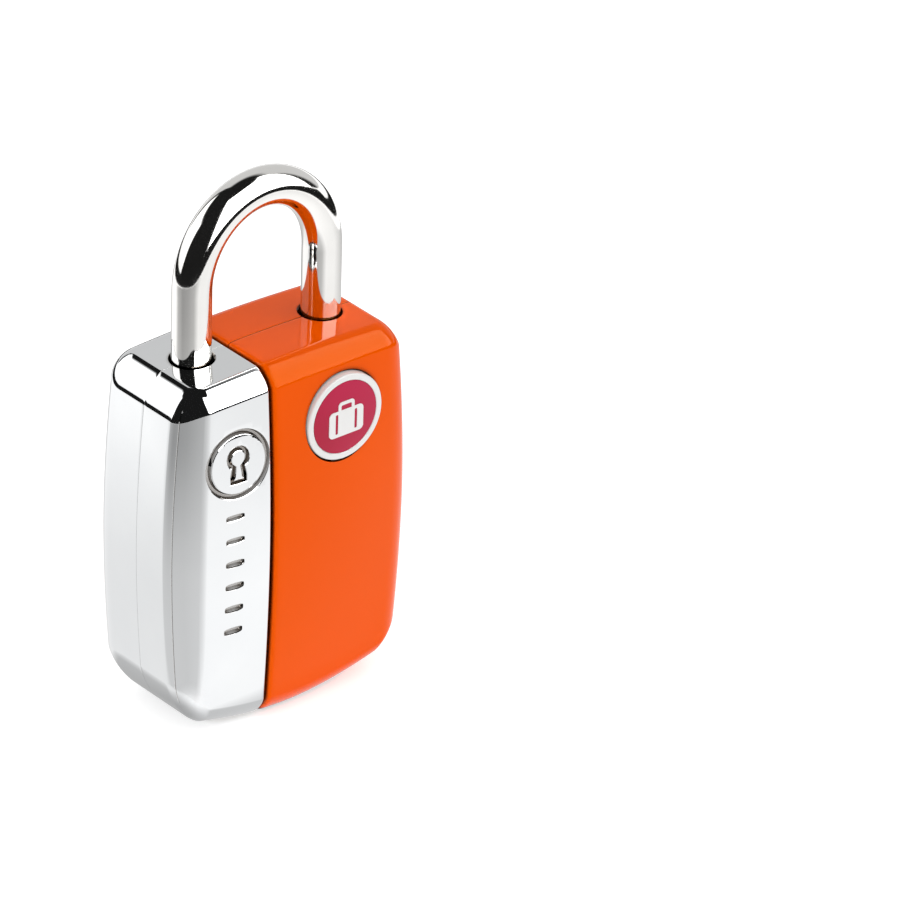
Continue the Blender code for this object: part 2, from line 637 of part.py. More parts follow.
def make_looks():
    """One plain material for each finish."""
    return {
        "chrome": material("polished_chrome", (0.80, 0.81, 0.82), 0.08, 1.0),
        "orange": material("orange_lacquer", (0.83, 0.11, 0.005), 0.15, 0.0),
        "rim": material("badge_rim_white", (0.85, 0.85, 0.84), 0.25, 0.0),
        "enamel": material("badge_enamel_red", (0.55, 0.02, 0.06), 0.15, 0.0),
        "zinc": material("cast_zinc", (0.45, 0.46, 0.47), 0.5, 1.0),
        "steel": material("bright_steel", (0.70, 0.71, 0.72), 0.15, 1.0),
        "spring": material("spring_steel", (0.40, 0.41, 0.43), 0.3, 1.0),
        "brass": material("brass", (0.72, 0.50, 0.20), 0.25, 1.0),
    }


def main():
    """Build the padlock."""
    clear_scene()
    parts = new_collection("luggage_padlock")
    cutters = new_collection("cutters")
    looks = make_looks()
    make_covers(parts, cutters, looks)
    make_badge(parts, cutters, looks)
    make_core(parts, cutters, looks)
    make_shackle(parts, cutters, looks)
    make_spring(parts, looks)
    make_pins(parts, cutters, looks)
    make_bolt(parts, cutters, looks)
    make_cylinder(parts, cutters, looks)
    for guide in cutters.objects:
        guide.hide_render = True
        guide.display_type = "WIRE"


main()
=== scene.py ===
"""Looks of the luggage padlock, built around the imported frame. Lengths are metres."""
import json
import math

import bmesh
import bpy
from mathutils import Matrix, Vector


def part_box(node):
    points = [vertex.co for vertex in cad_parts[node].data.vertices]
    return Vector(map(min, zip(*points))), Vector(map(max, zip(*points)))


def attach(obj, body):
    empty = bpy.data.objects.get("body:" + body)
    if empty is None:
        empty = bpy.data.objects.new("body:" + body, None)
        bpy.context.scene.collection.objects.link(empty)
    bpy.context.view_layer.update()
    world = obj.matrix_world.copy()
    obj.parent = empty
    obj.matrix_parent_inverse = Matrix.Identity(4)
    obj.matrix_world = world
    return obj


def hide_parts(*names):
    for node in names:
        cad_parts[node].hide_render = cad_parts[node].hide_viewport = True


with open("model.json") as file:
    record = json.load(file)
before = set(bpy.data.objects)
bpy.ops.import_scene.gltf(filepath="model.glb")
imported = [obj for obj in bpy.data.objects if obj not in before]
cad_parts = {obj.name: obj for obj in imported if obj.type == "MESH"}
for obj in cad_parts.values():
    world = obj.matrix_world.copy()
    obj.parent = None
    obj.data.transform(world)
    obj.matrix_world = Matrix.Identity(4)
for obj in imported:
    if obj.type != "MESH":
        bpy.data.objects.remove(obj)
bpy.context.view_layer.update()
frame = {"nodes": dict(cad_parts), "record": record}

MM = 0.001

# Body form: a crowned rounded box that fills the CAD covers' box, with finer edges
CROWN_SIDE = 0.9 * MM
CROWN_FACE = 1.1 * MM
CROWN_TOP = 0.4 * MM
CROWN_BASE = 1.95 * MM
BASE_FLAT = 0.45 * MM
CROWN_POWER = 1.85
CORNER_RADIUS = 2.3 * MM          # upright corners, seen from above
BEVELLED_CORNER = 1.5             # powers: 2 is an arc, less is flatter, more is squarer
SQUARE_CORNER = 2.25
TOP_INSET = 1.6 * MM              # how far the top's bevel comes in
TOP_DROP_FRONT, TOP_DROP_END = 1.6 * MM, 2.5 * MM
BASE_INSET_FRONT, BASE_INSET_END = 2.1 * MM, 2.25 * MM
BASE_DROP_FRONT, BASE_DROP_END = 2.0 * MM, 3.6 * MM
BASE_END_REACH = 0.6              # below 1, the end's values reach further round the corners
TOP_BEVEL, BASE_BEVEL = 1.56, 1.6          # powers, as for the corners
EDGE_START = 0.3                  # share of the edge grid that lies on the flat inside the bevel
OUTER_STEPS, INNER_STEPS = 9, 5   # grid lines on the bevel and inside it
UPRIGHT_FLATS, UPRIGHT_BENDS = 44, 12
CHROME_FLATS, ORANGE_FLATS, SIDE_FLATS = 18, 32, 12
SPLIT_LIP_STEPS, SEAM_LIP_STEPS = 6, 5
PARTING_SHARE = 0.37              # hairline down the chrome corner, by edge share
PARTING_STEP = 0.028
PARTING_DEPTH = 0.04 * MM
WALL = 1.0 * MM
CREASE_ANGLE = 32.0               # degrees; sharper edges are shaded crisp

REAR_LOW, REAR_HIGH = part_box("orange_rear_cover")
CHROME_LOW, CHROME_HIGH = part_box("chrome_rear_cover")
BODY_HALF = Vector((
    REAR_HIGH.x - CROWN_SIDE,
    REAR_HIGH.y - CROWN_FACE,
    (REAR_HIGH.z + BASE_FLAT - CROWN_BASE - CROWN_TOP) / 2.0,
))
MIDDLE_Z = BODY_HALF.z + CROWN_BASE - BASE_FLAT
SPLIT_GAP = 0.3 * MM
SPLIT_X = (REAR_LOW.x + CHROME_HIGH.x) / 2.0
SEAM_GAP = 0.012 * MM
CHROME_LIPS = (0.26 * MM, 0.008 * MM)     # rounding at the split and at the seam
ORANGE_LIPS = (0.42 * MM, 0.08 * MM)

# Shackle, from its CAD box
ROD_LOW, ROD_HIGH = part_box("shackle")
WIRE_RADIUS = (ROD_HIGH.y - ROD_LOW.y) / 2.0
LEG_X = ROD_HIGH.x - WIRE_RADIUS
ARCH_RISE = 7.0 * MM
LEG_TOP_Z = ROD_HIGH.z - WIRE_RADIUS - ARCH_RISE
HEEL_END_Z = ROD_LOW.z
TOE_END_Z = 23.7 * MM
LIFT = 7.8 * MM
BOLT_TRAVEL = 3.4 * MM
LEG_STRAIGHT = 6 * MM             # how far below the bend each leg has its next ring
TIP_CHAMFER = 0.45 * MM
TIP_SHARE = 0.72                  # radius of a leg's end face, as a share of the wire's
TOE_MOUTH_RADIUS = 1.8 * MM
HEEL_MOUTH_RADIUS = 1.76 * MM
MOUTH_DEPTH = 4 * MM
MOUTH_FLARE = 0.07 * MM
MOUTH_TOP_Z = REAR_HIGH.z - 0.16 * MM      # the crown has dropped this far at the legs
KEY_MOUTH_ROOM = 0.3 * MM
KEY_MOUTH_FLARE = 0.12 * MM
SLOT_HALF = 3 * MM                # half length of the notch and groove cutters
CUT_GAP = 0.3 * MM                # clearance round the bolt's nose and the retaining pin
BOLT_TIP_HEIGHT = 0.5 * MM

# Engraved marks on the chrome front
GROOVE_DEPTH = 0.28 * MM
GROOVE_HALF = 0.24 * MM
GROOVE_RUNOUT = 0.12              # share of its size that an open groove has at its ends
GROOVE_PROFILE = ((1.25, -0.10), (1.0, 0.0), (0.82, 0.55), (0.45, 0.92), (0.0, 1.0),
                  (-0.45, 0.92), (-0.82, 0.55), (-1.0, 0.0), (-1.25, -0.10))
GROOVE_ROOF = 0.4 * MM            # how far a cutter stands out of the face
MARK_CENTRE = (-6.45 * MM, 24.5 * MM)
RING_RADIUS = 2.75 * MM
KEYHOLE_BOW_UP, KEYHOLE_FOOT_DOWN = 0.55 * MM, 1.5 * MM
KEYHOLE_BOW_RADIUS, KEYHOLE_FOOT_HALF = 0.85 * MM, 0.62 * MM
KEYHOLE_ARC = (-62.0, 242.0)      # degrees
DASH_COUNT, DASH_STEPS = 6, 14
DASH_X, DASH_TOP_Z = -6.8 * MM, 19.9 * MM
DASH_PITCH, DASH_HALF = 2.05 * MM, 0.85 * MM

# Badge
BADGE_ROOM = 0.14 * MM            # gap between the plate and its recess
BADGE_UNDER = 0.05 * MM           # gap under the plate
BADGE_ROUND = 0.14 * MM
ENAMEL_EXTRA = 0.25 * MM          # enamel radius beyond the CAD insert's
ENAMEL_SEAT = 0.2 * MM
ENAMEL_GAP = 0.03 * MM
ENAMEL_EDGE = -0.04 * MM
DOME_RISE = 0.15 * MM
DOME_POWER = 2.2
SIGN_SINK = 0.07 * MM             # how deep the sign sits in the dome's top

# Studio, in degrees of azimuth (0 is in front, -90 on the chrome side) and elevation
SOFTBOX_FRONT = ((-11.0, 62.0), (-6.0, 64.0))
SOFTBOX_LEAN = 0.35               # the front softbox narrows upwards by this much per degree
SOFTBOX_LEFT = ((-173.0, -113.0), (-12.0, 38.0))
WALL_BACK = ((82.0, 190.0), (-15.0, 58.0))
GLOW_FRONT, GLOW_LEFT, GLOW_BACK = 8.0, 2.0, 0.76
SOFT_FRONT, SOFT_PANEL, SOFT_BACK = 4.0, 3.0, 7.0     # half widths of the blurred borders
DARK_ROOM = 0.012
DIFFUSE_SKY = 0.95
CAMERA_SKY = 1.3
SUN_ANGLE = 50.0
SUN_ENERGY = 0.25
SUN_PLACE = (0.3, -0.2, 0.32)
FLOOR_HALF = 3.0
FLOOR_TONE = (0.84, 0.84, 0.84, 1.0)
FLOOR_ROUGHNESS = 0.8
FLOOR_GLOW = 0.53

# Glowing grey sheet that the body stands on in reflections, a painted reflection of the unevenly
# lit floor: (azimuth, tone) far from it and near it
SHEET_FAR = ((-180.0, 1.38), (-142.0, 1.38), (-126.0, 0.62), (-95.0, 0.40), (-60.0, 0.46),
             (-25.0, 0.60), (4.0, 1.16), (52.0, 1.16), (85.0, 0.85), (125.0, 0.50),
             (165.0, 0.50), (180.0, 1.38))
SHEET_NEAR = ((-180.0, 1.08), (-142.0, 1.04), (-126.0, 0.82), (-60.0, 0.80), (-25.0, 0.86),
              (4.0, 1.32), (52.0, 1.34), (85.0, 1.30), (115.0, 1.20), (145.0, 0.85),
              (165.0, 0.85), (180.0, 1.08))
SHEET_MIX = (40 * MM, 30 * MM)    # distance where near turns into far, and half its blend
SHEET_CONTACT_SHADE = 0.6               # painted contact shadow: tone share at the body, rising to 1 over the width
SHEET_CONTACT_SHADE_WIDTH = 2 * MM
SHEET_OPENING = (2.5 * MM, 2 * MM)         # hole round the sheet's origin, and half its blend
SHEET_RADIUS = 108 * MM
SHEET_HEIGHT = 0.3 * MM
SHEET_SIDES = 64

# Dark flag that rings the sheet: (azimuth from which it applies, height)
FLAG_RADIUS = 125 * MM
FLAG_SIDES = 120
FLAG_HEIGHTS = ((-180.0, 22 * MM), (-113.0, 45 * MM), (-18.0, 38 * MM), (75.0, 22 * MM))

# Finishes: noise frequencies per metre, spread of the roughness, and bump distances
METAL_TONE, METAL_GRAIN, METAL_SWELL = 140.0, 2600.0, 95.0
LACQUER_TONE, LACQUER_PEEL, LACQUER_DUST = 60.0, 900.0, 5200.0
TONE_STOPS = (0.3, 0.7)
METAL_GLOSS, LACQUER_GLOSS = (0.7, 1.4), (0.8, 1.3)
SWELL_DISTANCE, GRAIN_DISTANCE, PEEL_DISTANCE = 0.5 * MM, 0.01 * MM, 0.05 * MM

# Painted crevice shade: how far its occlusion test looks, and the openness that counts as shut and
# as open
CREVICE_REACH = 0.45 * MM
CREVICE_SAMPLES = 6
CREVICE_SHUT, CREVICE_OPEN = 0.6, 0.95

# Camera, in degrees and metres; the lock stands to the left of the picture's middle
VIEW_AZIMUTH = -40.44
VIEW_ELEVATION = 29.5
VIEW_ROLL = 1.68
VIEW_DISTANCE = 0.671
VIEW_LENS = 335.7
VIEW_CLIP = (0.01, 20.0)
AIM_RIGHT = 15.94 * MM
AIM_UP = 18.13 * MM


# ---------------------------------------------------------------- node helpers

def new_material(name):
    """An empty node material with its Principled shader."""
    made = bpy.data.materials.new(name)
    made.use_nodes = True
    return made, made.node_tree, made.node_tree.nodes["Principled BSDF"]


def node(tree, kind, **values):
    """Add a shader node and set its plain properties and inputs."""
    made = tree.nodes.new(kind)
    for key, value in values.items():
        if hasattr(made, key):
            setattr(made, key, value)
        else:
            made.inputs[key.replace("_", " ")].default_value = value
    return made


def object_place(tree):
    """Object coordinates, which move with the piece."""
    return node(tree, "ShaderNodeTexCoord").outputs["Object"]


def noise(tree, place, scale, detail=3.0, roughness=0.55, stretch=None):
    """Fractal noise of a given frequency per metre."""
    if stretch:
        mapping = node(tree, "ShaderNodeMapping")
        mapping.inputs["Scale"].default_value = stretch
        tree.links.new(place, mapping.inputs["Vector"])
        place = mapping.outputs["Vector"]
    made = node(tree, "ShaderNodeTexNoise", Scale=scale, Detail=detail, Roughness=roughness)
    tree.links.new(place, made.inputs["Vector"])
    return made.outputs["Fac"]


def ramp(tree, source, stops):
    """A colour ramp from (position, colour) stops."""
    made = tree.nodes.new("ShaderNodeValToRGB")
    band = made.color_ramp
    while len(band.elements) < len(stops):
        band.elements.new(0.5)
    for element, (position, colour) in zip(band.elements, stops):
        element.position = position
        element.color = (*colour, 1.0)
    tree.links.new(source, made.inputs["Fac"])
    return made.outputs["Color"]


def remap(tree, source, low, high):
    """Stretch a 0 to 1 value to low to high."""
    made = node(tree, "ShaderNodeMapRange")
    made.inputs["To Min"].default_value = low
    made.inputs["To Max"].default_value = high
    tree.links.new(source, made.inputs["Value"])
    return made.outputs["Result"]


def bump(tree, heights):
    """Chain bumps, each (height, strength, distance)."""
    normal = None
    for height, strength, distance in heights:
        made = node(tree, "ShaderNodeBump", Strength=strength, Distance=distance)
        tree.links.new(height, made.inputs["Height"])
        if normal:
            tree.links.new(normal, made.inputs["Normal"])
        normal = made.outputs["Normal"]
    return normal


def painted_crevice_shade(tree, colour, tint):
    """Paint shade into a colour: blend it towards the tint in grooves, seams and gaps that ambient
    occlusion finds shut in.
    """
    shade = node(tree, "ShaderNodeAmbientOcclusion", Distance=CREVICE_REACH)
    shade.samples = CREVICE_SAMPLES
    mask = node(tree, "ShaderNodeMapRange")
    mask.inputs["From Min"].default_value = CREVICE_SHUT
    mask.inputs["From Max"].default_value = CREVICE_OPEN
    tree.links.new(shade.outputs["AO"], mask.inputs["Value"])
    mix = tree.nodes.new("ShaderNodeMix")
    mix.data_type = "RGBA"
    tree.links.new(mask.outputs["Result"], mix.inputs["Factor"])
    mix.inputs["A"].default_value = (*tint, 1.0)
    tree.links.new(colour, mix.inputs["B"])
    return mix.outputs["Result"]


def metal(name, dark, light, roughness, swell, grain, stretch=None, crevice_shade=None):
    """A metal with tone variation, uneven gloss, slow surface swell and fine grain, and painted
    shade in its crevices when a crevice colour is given.
    """
    made, tree, shader = new_material(name)
    place = object_place(tree)
    tone = noise(tree, place, METAL_TONE, 4.0)
    fine = noise(tree, place, METAL_GRAIN, 3.0, 0.6, stretch)
    slow = noise(tree, place, METAL_SWELL, 1.0)
    shader.inputs["Metallic"].default_value = 1.0
    colour = ramp(tree, tone, list(zip(TONE_STOPS, (dark, light))))
    # painted shade: the colour darkens in shut-in grooves, seams and gaps
    if crevice_shade:
        colour = painted_crevice_shade(tree, colour, crevice_shade)
    tree.links.new(colour, shader.inputs["Base Color"])
    low, high = (roughness * share for share in METAL_GLOSS)
    tree.links.new(remap(tree, fine, low, high), shader.inputs["Roughness"])
    normal = bump(tree, [(slow, swell, SWELL_DISTANCE), (fine, grain, GRAIN_DISTANCE)])
    tree.links.new(normal, shader.inputs["Normal"])
    return made


def lacquer(name, dark, light, roughness, peel, reflectance=0.5, tint=(1.0, 1.0, 1.0),
            crevice_shade=None, index=1.5):
    """A glossy coloured lacquer or enamel with faint orange peel, and painted shade in its
    crevices when a crevice colour is given.
    """
    made, tree, shader = new_material(name)
    place = object_place(tree)
    tone = noise(tree, place, LACQUER_TONE, 2.0)
    skin = noise(tree, place, LACQUER_PEEL, 2.0, 0.5)
    dust = noise(tree, place, LACQUER_DUST, 2.0)
    colour = ramp(tree, tone, list(zip(TONE_STOPS, (dark, light))))
    if crevice_shade:
        colour = painted_crevice_shade(tree, colour, crevice_shade)
    tree.links.new(colour, shader.inputs["Base Color"])
    low, high = (roughness * share for share in LACQUER_GLOSS)
    tree.links.new(remap(tree, dust, low, high), shader.inputs["Roughness"])
    shader.inputs["IOR"].default_value = index
    shader.inputs["Specular IOR Level"].default_value = reflectance
    shader.inputs["Specular Tint"].default_value = (*tint, 1.0)
    tree.links.new(bump(tree, [(skin, peel, PEEL_DISTANCE)]), shader.inputs["Normal"])
    return made


def make_materials():
    """One procedural material for each finish in the record."""
    return {
        # chrome_plate: (0.13, 0.105, 0.082) is painted shade in the engraved marks, the seams and
        # the split's gap
        "chrome_plate": metal("chrome_plate", (0.69, 0.70, 0.71), (0.72, 0.73, 0.735),
                              0.035, 0.012, 0.05, crevice_shade=(0.13, 0.105, 0.082)),
        "plated_steel": metal("plated_steel", (0.73, 0.72, 0.70), (0.79, 0.78, 0.76),
                              0.07, 0.02, 0.12),
        # orange_lacquer: (0.06, 0.008, 0.0) is painted shade, nearly black, in the split's gap,
        # the seams, the mouths and round the badge recess
        "orange_lacquer": lacquer("orange_lacquer", (0.74, 0.078, 0.0), (0.78, 0.084, 0.0),
                                  0.07, 0.10, 0.55, (1.0, 0.5, 0.1), (0.06, 0.008, 0.0), 1.25),
        "badge_rim": lacquer("badge_rim", (0.68, 0.68, 0.67), (0.72, 0.72, 0.71), 0.18, 0.05, 0.3),
        "badge_enamel": lacquer("badge_enamel", (0.36, 0.006, 0.035), (0.48, 0.012, 0.07),
                                0.07, 0.12, 0.2),
        "cast_zinc": metal("cast_zinc", (0.34, 0.34, 0.35), (0.48, 0.48, 0.49), 0.5, 0.1, 0.5),
        "bright_steel": metal("bright_steel", (0.58, 0.58, 0.58), (0.70, 0.70, 0.69),
                              0.22, 0.05, 0.3, (1.0, 0.12, 1.0)),
        "spring_steel": metal("spring_steel", (0.30, 0.30, 0.31), (0.42, 0.42, 0.42),
                              0.28, 0.05, 0.3),
        "brass": metal("brass", (0.62, 0.42, 0.16), (0.78, 0.56, 0.24), 0.22, 0.05, 0.3,
                       (1.0, 1.0, 0.12)),
        "wafer_brass": metal("wafer_brass", (0.66, 0.47, 0.20), (0.80, 0.60, 0.28), 0.25,
                             0.05, 0.3),
    }


# ---------------------------------------------------------------- mesh helpers

def mesh_object(name, bm, look=None):
    """Turn a bmesh into a shown object."""
    bmesh.ops.recalc_face_normals(bm, faces=bm.faces[:])
    mesh = bpy.data.meshes.new(name)
    bm.to_mesh(mesh)
    bm.free()
    made = bpy.data.objects.new(name, mesh)
    bpy.context.scene.collection.objects.link(made)
    if look:
        mesh.materials.append(look)
    return made


def smooth(piece):
    """Shade smooth, with sharp edges kept crisp."""
    piece.data.shade_smooth()
    piece.data.set_sharp_from_angle(angle=math.radians(CREASE_ANGLE))


def carve(target, cutters):
    """Cut the cutters out of a piece and remove them."""
    for cutter in cutters:
        step = target.modifiers.new(cutter.name, "BOOLEAN")
        step.operation = "DIFFERENCE"
        step.solver = "EXACT"
        step.object = cutter
    bpy.context.view_layer.update()
    graph = bpy.context.evaluated_depsgraph_get()
    mesh = bpy.data.meshes.new_from_object(target.evaluated_get(graph))
    target.modifiers.clear()
    target.data = mesh
    for cutter in cutters:
        bpy.data.objects.remove(cutter, do_unlink=True)


def turned(name, profile, place, axis="Z", sides=96, look=None):
    """A turned solid from (radius, height) points, closed on its axis."""
    bm = bmesh.new()
    rings = []
    for radius, height in profile:
        if radius <= 0.0:
            rings.append([bm.verts.new((0.0, 0.0, height))])
            continue
        ring = []
        for step in range(sides):
            angle = 2.0 * math.pi * step / sides
            ring.append(bm.verts.new((radius * math.cos(angle), radius * math.sin(angle), height)))
        rings.append(ring)
    for first, second in zip(rings, rings[1:]):
        for step in range(sides):
            after = (step + 1) % sides
            corners = [first[step % len(first)], first[after % len(first)],
                       second[after % len(second)], second[step % len(second)]]
            bm.faces.new(list(dict.fromkeys(corners)))
    if axis == "Y":
        bmesh.ops.rotate(bm, verts=bm.verts, matrix=Matrix.Rotation(math.radians(90.0), 3, "X"))
    bmesh.ops.translate(bm, verts=bm.verts, vec=place)
    return mesh_object(name, bm, look)


def loft(name, sections, closed, look=None):
    """Join equal rings of points; closed joins the last ring to the first."""
    bm = bmesh.new()
    rings = [[bm.verts.new(point) for point in section] for section in sections]
    count = len(rings[0])
    pairs = list(zip(rings, rings[1:]))
    if closed:
        pairs.append((rings[-1], rings[0]))
    for first, second in pairs:
        for step in range(count):
            after = (step + 1) % count
            bm.faces.new((first[step], first[after], second[after], second[step]))
    if not closed:
        bm.faces.new(rings[0])
        bm.faces.new(rings[-1])
    return mesh_object(name, bm, look)


# ---------------------------------------------------------------- body form

def unit(first, second, power):
    """A direction of two parts, scaled to length 1 under a power."""
    length = (abs(first) ** power + abs(second) ** power) ** (1.0 / power)
    return first / length, second / length


def crowned(place):
    """Swell each face of the rounded box towards its middle."""
    x, y, z = (place[i] / BODY_HALF[i] for i in range(3))
    fade_x = 1.0 - min(abs(x), 1.0) ** CROWN_POWER
    fade_z = 1.0 - min(abs(z), 1.0) ** CROWN_POWER
    rise = CROWN_TOP if z > 0.0 else CROWN_BASE
    return Vector((
        place.x + CROWN_SIDE * x * fade_z,
        place.y + CROWN_FACE * y * fade_x * fade_z,
        place.z + rise * z * fade_x,
    ))


def front_y(x, z):
    """The front face's Y at a point of the face."""
    raw = Vector((x, -BODY_HALF.y, z - MIDDLE_Z))
    return crowned(raw).y


def edge_levels():
    """Shares of the rounded edge, from 1 on the corner's bisector to 0 at its flat."""
    outer = [EDGE_START + (1.0 - EDGE_START) * (1.0 - step / OUTER_STEPS) ** 2
             for step in range(OUTER_STEPS)]
    inner = [EDGE_START * (1.0 - step / INNER_STEPS) ** 1.5 for step in range(INNER_STEPS)]
    return outer + inner


def open_grid(reach, edge, lip, flats, lips):
    """(edge share, place, lip dip) lines from an outer corner to an open edge with a round lip."""
    lines = [(share, 0.0, 0.0) for share in edge_levels()]
    direction = 1.0 if edge > reach else -1.0
    stop = edge - direction * lip
    lines += [(0.0, reach + (stop - reach) * step / flats, 0.0) for step in range(flats)]
    for step in range(lips + 1):
        angle = math.radians(90.0 * step / lips)
        lines.append((0.0, stop + direction * lip * math.sin(angle),
                      lip * (1.0 - math.cos(angle))))
    return lines


def upright_grid():
    """(signed edge share, share of the flat) lines from the base to the top."""
    bend = [(1.0 - step / UPRIGHT_BENDS) ** 2 for step in range(UPRIGHT_BENDS)]
    lines = [(-share, 0.0) for share in bend]
    lines += [(0.0, step / UPRIGHT_FLATS) for step in range(UPRIGHT_FLATS + 1)]
    return lines + [(share, 1.0) for share in reversed(bend)]


def body_point(line_x, line_y, line_z, side_x, side_y, power):
    """A point of the outer form, from its three grid lines."""
    share_x, flat_x = line_x[0], line_x[1]
    share_y, flat_y = line_y[0], line_y[1]
    share_z, flat_z = line_z
    most = max(share_x, share_y)
    across, along = unit(share_x, share_y, power) if most > 0.0 else (0.0, 0.0)
    upper = flat_z > 0.5
    end = across ** 2 / max(across ** 2 + along ** 2, 1e-9)
    base_end = end ** BASE_END_REACH
    base_inset = BASE_INSET_FRONT + (BASE_INSET_END - BASE_INSET_FRONT) * base_end
    inset = TOP_INSET if upper else base_inset
    bend = max(most - EDGE_START, 0.0) / (1.0 - EDGE_START)
    bevel = TOP_BEVEL if upper else BASE_BEVEL
    level, rise = unit(bend, share_z, bevel) if bend or share_z else (0.0, 0.0)
    reach = CORNER_RADIUS - inset + inset * level
    if most < EDGE_START:
        reach = (CORNER_RADIUS - inset) * most / EDGE_START
    x = side_x * (BODY_HALF.x - CORNER_RADIUS + reach * across) if share_x > 0.0 else flat_x
    y = side_y * (BODY_HALF.y - CORNER_RADIUS + reach * along) if share_y > 0.0 else flat_y
    top_drop = TOP_DROP_FRONT + (TOP_DROP_END - TOP_DROP_FRONT) * end
    base_drop = BASE_DROP_FRONT + (BASE_DROP_END - BASE_DROP_FRONT) * base_end
    low, high = base_drop - BODY_HALF.z, BODY_HALF.z - top_drop
    z = low + (high - low) * flat_z + (top_drop if upper else base_drop) * rise
    return crowned(Vector((x, y, z))) + Vector((0.0, 0.0, MIDDLE_Z))


def shell(name, side_x, side_y, look, parting):
    """One quarter of the body: an outer skin with lips, an inner skin, and the rim between.

    With parting, the corner is bevelled and has the fine line down it.
    """
    split_lip, seam_lip = ORANGE_LIPS if side_x > 0 else CHROME_LIPS
    edge_x = SPLIT_X + side_x * SPLIT_GAP / 2.0
    edge_y = side_y * SEAM_GAP / 2.0
    grid_x = open_grid(side_x * (BODY_HALF.x - CORNER_RADIUS), edge_x, split_lip,
                       ORANGE_FLATS if side_x > 0 else CHROME_FLATS, SPLIT_LIP_STEPS)
    grid_y = open_grid(side_y * (BODY_HALF.y - CORNER_RADIUS), edge_y, seam_lip,
                       SIDE_FLATS, SEAM_LIP_STEPS)
    if parting:
        hairline = [(PARTING_SHARE + step * PARTING_STEP, 0.0, PARTING_DEPTH * (step == 0))
                    for step in (1, 0, -1)]
        edge = [line for line in grid_y
                if line[0] > 0.0 and abs(line[0] - PARTING_SHARE) > 1.5 * PARTING_STEP]
        grid_y = (sorted(edge + hairline, reverse=True)
                  + [line for line in grid_y if line[0] == 0.0])
    grid_z = upright_grid()
    last_x, last_y, last_z = len(grid_x) - 1, len(grid_y) - 1, len(grid_z) - 1

    def skins():
        """Index squares of the four outer faces."""
        for i in range(last_x):
            for k in range(last_z):
                yield ((i, 0, k), (i + 1, 0, k), (i + 1, 0, k + 1), (i, 0, k + 1))
        for j in range(last_y):
            for k in range(last_z):
                yield ((0, j, k), (0, j + 1, k), (0, j + 1, k + 1), (0, j, k + 1))
        for k in (0, last_z):
            for i in range(last_x):
                for j in range(last_y):
                    yield ((i, j, k), (i + 1, j, k), (i + 1, j + 1, k), (i, j + 1, k))

    def rims():
        """Index pairs along the two open edges."""
        for k in range(last_z):
            yield ((last_x, 0, k), (last_x, 0, k + 1))
            yield ((0, last_y, k), (0, last_y, k + 1))
        for k in (0, last_z):
            for j in range(last_y):
                yield ((last_x, j, k), (last_x, j + 1, k))
            for i in range(last_x):
                yield ((i, last_y, k), (i + 1, last_y, k))

    power = BEVELLED_CORNER if parting else SQUARE_CORNER
    bm = bmesh.new()
    outer, inner = {}, {}
    squares = list(skins())
    for square in squares:
        for key in square:
            if key not in outer:
                outer[key] = bm.verts.new(body_point(
                    grid_x[key[0]], grid_y[key[1]], grid_z[key[2]], side_x, side_y, power))
    for square in squares:
        bm.faces.new([outer[key] for key in square])
    bmesh.ops.recalc_face_normals(bm, faces=bm.faces[:])
    bm.normal_update()
    middle = Vector((side_x * 5 * MM, side_y * 2 * MM, MIDDLE_Z))
    dips = {}
    for key, vert in outer.items():
        normal = vert.normal if vert.normal.dot(vert.co - middle) > 0.0 else -vert.normal
        upright = abs(grid_z[key[2]][0]) < 0.5
        groove_dip = grid_y[key[1]][2] if grid_y[key[1]][0] == 0.0 or upright else 0.0
        dips[key] = normal * (grid_x[key[0]][2] + groove_dip)
        back = vert.co - normal * WALL
        if key[0] == last_x:
            back.x = edge_x
        if key[1] == last_y:
            back.y = edge_y
        inner[key] = bm.verts.new(back)
    for key, dip in dips.items():
        outer[key].co -= dip
        outer[key].co.z = max(outer[key].co.z, 0.0)
    for square in squares:
        bm.faces.new([inner[key] for key in square])
    for first, second in rims():
        bm.faces.new((outer[first], outer[second], inner[second], inner[first]))
    return mesh_object(name, bm, look)


def mouth_cutter(name, x, radius):
    """A round hole through the top with a small chamfer at its mouth."""
    profile = [(0.0, MOUTH_TOP_Z - MOUTH_DEPTH), (radius, MOUTH_TOP_Z - MOUTH_DEPTH),
               (radius, MOUTH_TOP_Z - MOUTH_FLARE),
               (radius + 3 * MOUTH_FLARE, MOUTH_TOP_Z + 2 * MOUTH_FLARE),
               (0.0, MOUTH_TOP_Z + 2 * MOUTH_FLARE)]
    return turned(name, profile, (x, 0.0, 0.0))


def key_mouth_cutter():
    """The round hole for the key cylinder in the underside."""
    low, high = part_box("plug")
    radius = (high.x - low.x) / 2.0 + KEY_MOUTH_ROOM
    centre_x = (low.x + high.x) / 2.0
    profile = [(0.0, -MM), (radius + KEY_MOUTH_FLARE + MM, -MM), (radius, KEY_MOUTH_FLARE),
               (radius, MOUTH_DEPTH), (0.0, MOUTH_DEPTH)]
    return turned("key_mouth", profile, (centre_x, 0.0, 0.0))


# ---------------------------------------------------------------- engraved marks

